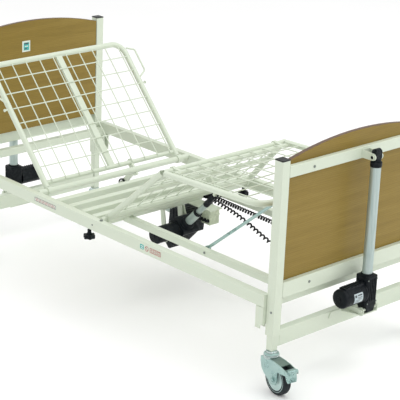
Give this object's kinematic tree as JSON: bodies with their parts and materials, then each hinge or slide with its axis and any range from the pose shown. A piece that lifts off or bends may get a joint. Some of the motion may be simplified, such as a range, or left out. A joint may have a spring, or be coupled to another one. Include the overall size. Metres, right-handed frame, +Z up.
{
  "type": "adjustable hospital bed",
  "caption": "Height-adjustable hospital bed with raised backrest, bent knee section, mesh platform, wooden end boards and castors.",
  "frame": {"origin": "centre of the bounding box on the floor", "axes": "+Z up, +Y towards the head end, +X to the far side rail; the wheels stand on z = 0"},
  "size_m": [0.9284, 2.298, 1.0559],
  "materials": {
    "cream_paint": "smooth cream-white powder coat",
    "black_plastic": "fine-grained black moulded plastic",
    "actuator_rod": "bright rod with a black fork head",
    "actuator_tube": "satin steel tube",
    "calf_struts": "zinc-plated bars",
    "castor_fork": "bright pressed steel fork and hood",
    "castor_pedal": "silver brake pedal",
    "castor_wheel": "dark grey tread on a silver hub",
    "control_box": "grey-green moulded case",
    "black_rubber": "black coiled lead",
    "end_panels": "brown wood-grain board with dark edging",
    "lift_tube": "satin anodised tube with a black end ring",
    "frame_screws": "zinc-plated heads and pins",
    "lift_rods": "bright steel thrust rods with black fork heads",
    "post_caps": "black moulded caps",
    "rail_joiners": "bare steel spigots"
  },
  "bodies": {
    "frame": {"actuator_hanger": "cream_paint", "control_box": "control_box", "curly_lead_lower": "black_rubber", "curly_lead_upper": "black_rubber", "end_cross_members": "cream_paint", "end_panels": "end_panels", "end_posts": "cream_paint", "end_rails": "cream_paint", "frame_screws": "frame_screws", "hinge_shafts": "cream_paint", "inner_rails": "cream_paint", "lead_plugs": "black_rubber", "lift_rods": "lift_rods", "lift_top_brackets": "cream_paint", "mid_beam": "cream_paint", "post_caps": "post_caps", "rail_end_brackets": "cream_paint", "rail_joiners": "rail_joiners", "seat_tubes": "cream_paint", "side_rails": "cream_paint"},
    "foot_lift": {"foot_legs": "cream_paint", "foot_leg_crossbar": "cream_paint", "foot_lift_bracket": "cream_paint", "foot_lift_drive": "black_plastic", "foot_lift_tube": "lift_tube"},
    "head_lift": {"head_legs": "cream_paint", "head_leg_crossbar": "cream_paint", "head_lift_bracket": "cream_paint", "head_lift_drive": "black_plastic", "head_lift_tube": "lift_tube"},
    "backrest": {"backrest_frame": "cream_paint", "backrest_mesh": "cream_paint", "mattress_loops": "cream_paint", "backrest_lever": "cream_paint"},
    "thigh": {"thigh_frame": "cream_paint", "thigh_mesh": "cream_paint"},
    "calf": {"calf_frame": "cream_paint", "calf_mesh": "cream_paint"},
    "calf_struts": {"calf_struts": "calf_struts"},
    "knee_actuator": {"knee_actuator_drive": "black_plastic", "knee_actuator_tube": "actuator_tube"},
    "knee_rod": {"knee_actuator_rod": "actuator_rod"},
    "backrest_actuator": {"backrest_actuator_drive": "black_plastic", "backrest_actuator_tube": "actuator_tube"},
    "backrest_rod": {"backrest_actuator_rod": "actuator_rod"},
    "knob_near": {"clamp_knob_near": "black_plastic"},
    "knob_far": {"clamp_knob_far": "black_plastic"},
    "castor_foot_near": {"castor_foot_near_fork": "castor_fork"},
    "wheel_foot_near": {"castor_foot_near_wheel": "castor_wheel"},
    "pedal_foot_near": {"castor_foot_near_pedal": "castor_pedal"},
    "castor_foot_far": {"castor_foot_far_fork": "castor_fork"},
    "wheel_foot_far": {"castor_foot_far_wheel": "castor_wheel"},
    "pedal_foot_far": {"castor_foot_far_pedal": "castor_pedal"},
    "castor_head_near": {"castor_head_near_fork": "castor_fork"},
    "wheel_head_near": {"castor_head_near_wheel": "castor_wheel"},
    "pedal_head_near": {"castor_head_near_pedal": "castor_pedal"},
    "castor_head_far": {"castor_head_far_fork": "castor_fork"},
    "wheel_head_far": {"castor_head_far_wheel": "castor_wheel"},
    "pedal_head_far": {"castor_head_far_pedal": "castor_pedal"}
  },
  "joints": [
    {"name": "foot_lift_slide", "type": "slide", "parent": "frame", "child": "foot_lift", "axis": [0, 0.0609, -0.9981], "range_m": [0, 0.4]},
    {"name": "head_lift_slide", "type": "slide", "parent": "frame", "child": "head_lift", "axis": [0, 0.0609, -0.9981], "range_m": [-0.125, 0.275]},
    {"name": "backrest_hinge", "type": "hinge", "parent": "frame", "child": "backrest", "pos_m": [0, 0.37118, 0.45234], "axis": [1, 0, 0], "range_deg": [-46.9, 13]},
    {"name": "thigh_hinge", "type": "hinge", "parent": "frame", "child": "thigh", "pos_m": [0, -0.04529, 0.43096], "axis": [1, 0, 0], "range_deg": [0, 44.35]},
    {"name": "knee_hinge", "type": "hinge", "parent": "thigh", "child": "calf", "pos_m": [0, -0.32663, 0.67433], "axis": [1, 0, 0], "range_deg": [-42.2, 0.2]},
    {"name": "strut_pivot", "type": "hinge", "parent": "frame", "child": "calf_struts", "pos_m": [0, -0.47484, 0.37771], "axis": [1, 0, 0], "range_deg": [-0.2, 38.5]},
    {"name": "knee_actuator_pivot", "type": "hinge", "parent": "frame", "child": "knee_actuator", "pos_m": [0, -0.00763, 0.25693], "axis": [1, 0, 0], "range_deg": [-0.2, 28.6]},
    {"name": "knee_rod_slide", "type": "slide", "parent": "knee_actuator", "child": "knee_rod", "axis": [0, -0.7347, 0.6784], "range_m": [-0.1, 0.0005]},
    {"name": "backrest_actuator_pivot", "type": "hinge", "parent": "frame", "child": "backrest_actuator", "pos_m": [0.11, -0.02228, 0.30011], "axis": [1, 0, 0], "range_deg": [-4.3, 1.3]},
    {"name": "backrest_rod_slide", "type": "slide", "parent": "backrest_actuator", "child": "backrest_rod", "axis": [0, 0.9872, 0.1594], "range_m": [-0.082, 0.023]},
    {"name": "clamp_knob_near_turn", "type": "hinge", "parent": "frame", "child": "knob_near", "pos_m": [-0.44, 0.01599, 0.36256], "axis": [0, 0.0609, -0.9981], "range_deg": [0, 360]},
    {"name": "clamp_knob_far_turn", "type": "hinge", "parent": "frame", "child": "knob_far", "pos_m": [0.44, 0.01599, 0.36256], "axis": [0, 0.0609, -0.9981], "range_deg": [0, 360]},
    {"name": "castor_foot_near_swivel", "type": "hinge", "parent": "foot_lift", "child": "castor_foot_near", "pos_m": [-0.42, -1.01069, 0.15], "axis": [0, 0, 1], "continuous": true},
    {"name": "castor_foot_near_roll", "type": "hinge", "parent": "castor_foot_near", "child": "wheel_foot_near", "pos_m": [-0.42657, -1.05217, 0.0625], "axis": [0.9877, -0.1564, 0], "continuous": true},
    {"name": "castor_foot_near_brake", "type": "hinge", "parent": "castor_foot_near", "child": "pedal_foot_near", "pos_m": [-0.43721, -1.11934, 0.112], "axis": [-0.9877, 0.1564, 0], "range_deg": [0, 15]},
    {"name": "castor_foot_far_swivel", "type": "hinge", "parent": "foot_lift", "child": "castor_foot_far", "pos_m": [0.42, -1.01069, 0.15], "axis": [0, 0, 1], "continuous": true},
    {"name": "castor_foot_far_roll", "type": "hinge", "parent": "castor_foot_far", "child": "wheel_foot_far", "pos_m": [0.41634, -1.05253, 0.0625], "axis": [0.9962, -0.0872, 0], "continuous": true},
    {"name": "castor_foot_far_brake", "type": "hinge", "parent": "castor_foot_far", "child": "pedal_foot_far", "pos_m": [0.41041, -1.12027, 0.112], "axis": [-0.9962, 0.0872, 0], "range_deg": [0, 15]},
    {"name": "castor_head_near_swivel", "type": "hinge", "parent": "head_lift", "child": "castor_head_near", "pos_m": [-0.42, 1.04312, 0.15], "axis": [0, 0, 1], "continuous": true},
    {"name": "castor_head_near_roll", "type": "hinge", "parent": "castor_head_near", "child": "wheel_head_near", "pos_m": [-0.41707, 1.00122, 0.0625], "axis": [0.9976, 0.0698, 0], "continuous": true},
    {"name": "castor_head_near_brake", "type": "hinge", "parent": "castor_head_near", "child": "pedal_head_near", "pos_m": [-0.41233, 0.93339, 0.112], "axis": [-0.9976, -0.0698, 0], "range_deg": [0, 15]},
    {"name": "castor_head_far_swivel", "type": "hinge", "parent": "head_lift", "child": "castor_head_far", "pos_m": [0.42, 1.04312, 0.15], "axis": [0, 0, 1], "continuous": true},
    {"name": "castor_head_far_roll", "type": "hinge", "parent": "castor_head_far", "child": "wheel_head_far", "pos_m": [0.41343, 1.00163, 0.0625], "axis": [0.9877, -0.1564, 0], "continuous": true},
    {"name": "castor_head_far_brake", "type": "hinge", "parent": "castor_head_far", "child": "pedal_head_far", "pos_m": [0.40279, 0.93447, 0.112], "axis": [-0.9877, 0.1564, 0], "range_deg": [0, 15]}
  ],
  "couplings": [
    {"joint": "knee_hinge", "follows": "thigh_hinge", "ratio": -0.94588},
    {"joint": "strut_pivot", "follows": "thigh_hinge", "ratio": 0.86111},
    {"joint": "knee_actuator_pivot", "follows": "thigh_hinge", "ratio": 0.63194},
    {"joint": "knee_rod_slide", "follows": "thigh_hinge", "m_per_rad": -0.12807},
    {"joint": "backrest_actuator_pivot", "follows": "backrest_hinge", "ratio": 0.088142},
    {"joint": "backrest_rod_slide", "follows": "backrest_hinge", "m_per_rad": 0.099001}
  ]
}
